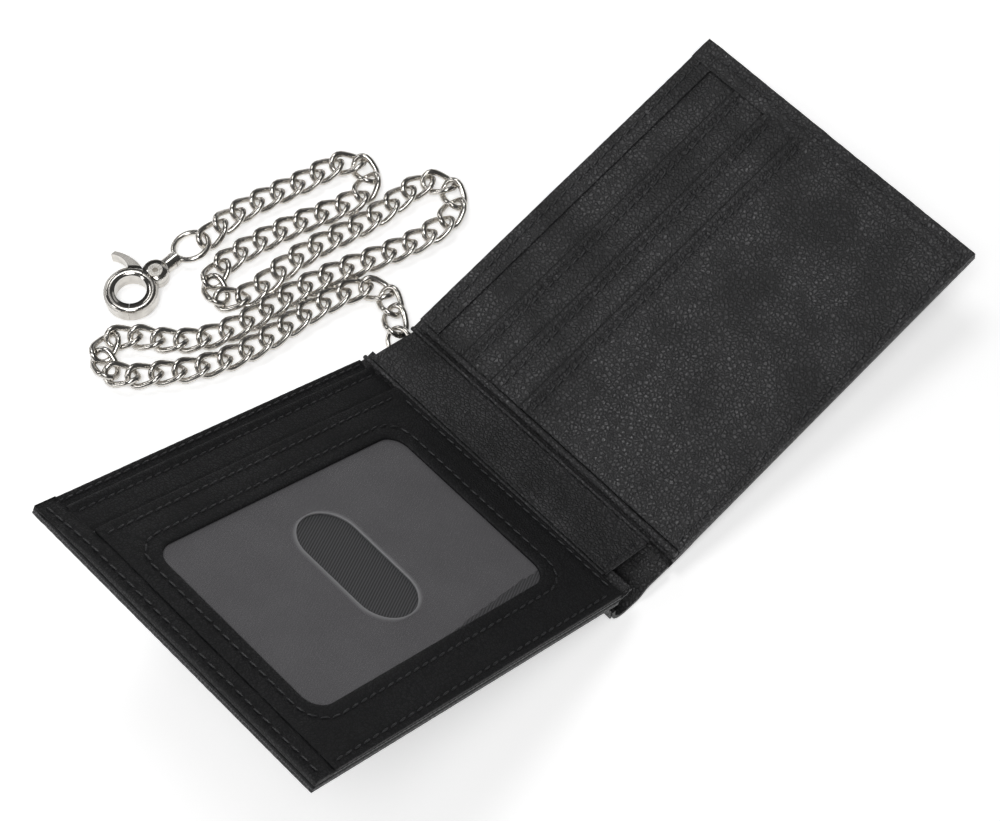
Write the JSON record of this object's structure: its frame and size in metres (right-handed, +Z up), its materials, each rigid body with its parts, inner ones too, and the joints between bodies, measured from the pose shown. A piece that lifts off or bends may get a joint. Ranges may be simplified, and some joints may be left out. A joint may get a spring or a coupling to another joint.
{
  "type": "chain wallet",
  "caption": "Open leather bifold wallet with an identity window, card pockets and a curb chain that ends in a swivel trigger snap.",
  "frame": {"origin": "middle of the open wallet's footprint, on the table, measured without the chain and what is on it", "axes": "+X along the open wallet from the leaf with the window to the leaf with the card pockets, +Y towards the mouths of the pockets, +Z up"},
  "size_m": [0.2186, 0.1595, 0.0642],
  "materials": {
    "black_leather": "fine pebble grain, semi-gloss",
    "black_lining": "diagonal twill",
    "clear_film": "clear flexible film",
    "polished_nickel": "polished nickel plate",
    "spring_wire": "drawn wire"
  },
  "bodies": {
    "spine": {"outer_shell_spine": "black_leather", "bill_lining_spine": "black_lining", "spine_strip": "black_leather", "eyelet": "polished_nickel", "eyelet_washer": "polished_nickel", "chain_run_1": "polished_nickel", "chain_run_2": "polished_nickel", "chain_run_3": "polished_nickel", "chain_run_4": "polished_nickel", "chain_run_5": "polished_nickel", "swivel_eye": "polished_nickel", "swivel_washer": "polished_nickel"},
    "left_leaf": {"outer_shell_left": "black_leather", "bill_lining_left": "black_lining", "left_backing": "black_leather", "left_card_pocket": "black_leather", "id_pocket_lining": "black_lining", "id_window_pane": "clear_film", "id_window_frame": "black_leather", "left_hem": "black_leather"},
    "right_leaf": {"outer_shell_right": "black_leather", "bill_lining_right": "black_lining", "right_backing": "black_leather", "right_card_pocket_1": "black_leather", "right_card_pocket_2": "black_leather", "right_card_pocket_3": "black_leather", "right_hem": "black_leather", "right_edge_piping": "black_leather"},
    "ring": {"wallet_ring": "polished_nickel"},
    "snap": {"snap_body": "polished_nickel", "trigger_rivet": "polished_nickel", "trigger_spring": "spring_wire"},
    "trigger": {"trigger_lever": "polished_nickel"}
  },
  "joints": [
    {"name": "left_fold", "type": "hinge", "parent": "spine", "child": "left_leaf", "pos_m": [-0.01356, 0, 0.01148], "axis": [0, 1, 0], "range_deg": [-33, 63.6]},
    {"name": "right_fold", "type": "hinge", "parent": "spine", "child": "right_leaf", "pos_m": [0.00234, 0, 0.00601], "axis": [0, -1, 0], "range_deg": [-11, 83]},
    {"name": "ring_turn", "type": "hinge", "parent": "spine", "child": "ring", "pos_m": [-0.0015, 0.0454, 0.00306], "axis": [0.6947, 0, -0.7193], "continuous": true},
    {"name": "snap_swivel", "type": "hinge", "parent": "spine", "child": "snap", "pos_m": [-0.0401, 0.103, 0.0021], "axis": [1, 0, 0], "continuous": true},
    {"name": "trigger_open", "type": "hinge", "parent": "snap", "child": "trigger", "pos_m": [-0.0319, 0.103, 0.0021], "axis": [0, 0, -1], "range_deg": [0, 25], "stiffness_Nm_per_rad": 0.02, "springref_deg": -17.19}
  ]
}
